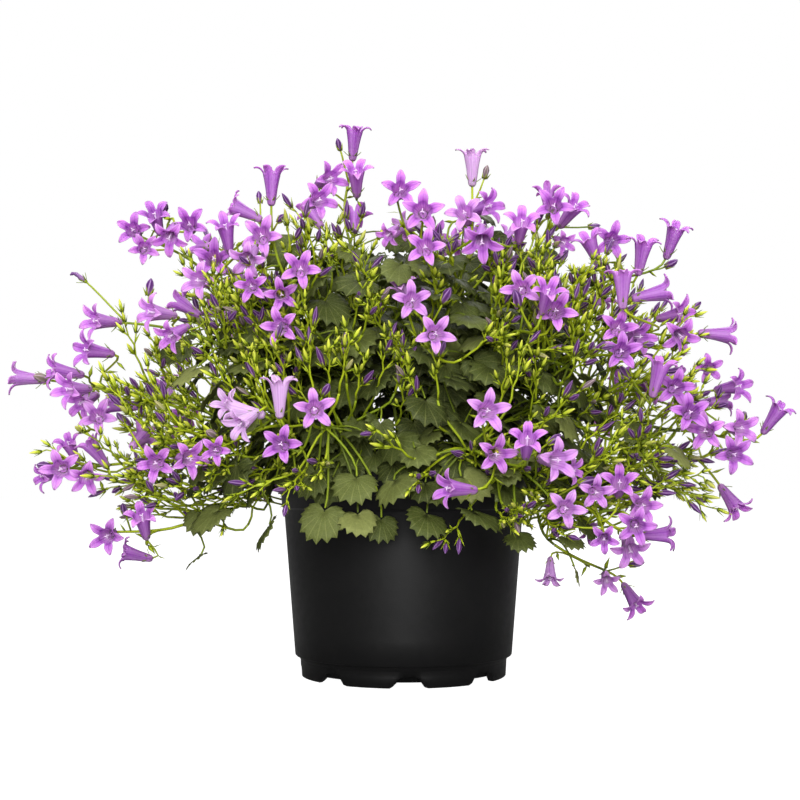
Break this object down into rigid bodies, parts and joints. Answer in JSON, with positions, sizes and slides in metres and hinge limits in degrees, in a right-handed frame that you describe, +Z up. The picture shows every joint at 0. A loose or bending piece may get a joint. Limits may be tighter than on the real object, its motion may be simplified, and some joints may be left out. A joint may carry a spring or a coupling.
{
  "type": "potted bellflower",
  "caption": "Bushy bellflower with violet star-shaped bells on arching leafy stems, in a round black plastic grower's pot",
  "frame": {"origin": "centre of the bounding box in plan, on the surface that the pot stands on", "axes": "+Z up, -Y towards the side of the plant that the picture shows, +X to the right of that view"},
  "size_m": [0.5212, 0.3289, 0.3684],
  "materials": {
    "pot": "satin black",
    "soil": "crumbly dark peat",
    "foliage": "matte leaf",
    "flower": "soft matte petal"
  },
  "bodies": {
    "root": {"pot": "pot", "shoot_back_left": "foliage", "shoot_back_right": "foliage", "shoot_back_top": "foliage", "shoot_back_upper_left": "foliage", "shoot_back_upper_right": "foliage", "shoot_corner_left": "foliage", "shoot_corner_right": "foliage", "shoot_far_left": "foliage", "shoot_far_right": "foliage", "shoot_front_left": "foliage", "shoot_front_right": "foliage", "shoot_left": "foliage", "shoot_left_inner": "foliage", "shoot_low_right": "foliage", "shoot_right": "foliage", "shoot_top": "foliage", "shoot_top_right": "foliage", "shoot_upper_left": "foliage", "shoot_upper_right": "foliage", "soil": "soil", "spray_back_far_left": "flower", "spray_back_far_right": "flower", "spray_back_inner_left": "flower", "spray_back_inner_right": "flower", "spray_back_left": "flower", "spray_back_low_left": "flower", "spray_back_low_right": "flower", "spray_back_right": "flower", "spray_back_top_left": "flower", "spray_back_top_right": "flower", "spray_centre_left": "flower", "spray_centre_right": "flower", "spray_centre_top": "flower", "spray_corner_left": "flower", "spray_corner_right": "flower", "spray_crown_left": "flower", "spray_far_left": "flower", "spray_far_right": "flower", "spray_front_left": "flower", "spray_front_middle": "flower", "spray_front_right": "flower", "spray_inner_left": "flower", "spray_left_face": "flower", "spray_left_inner": "flower", "spray_left_shoulder": "flower", "spray_low_left": "flower", "spray_low_right": "flower", "spray_lowest_right": "flower", "spray_right_face": "flower", "spray_right_inner": "flower", "spray_right_middle": "flower", "spray_right_shoulder": "flower", "spray_shoulder_right": "flower", "spray_top_left": "flower", "spray_top_middle": "flower", "spray_top_right": "flower", "spray_upper_left": "flower"}
  },
  "joints": []
}
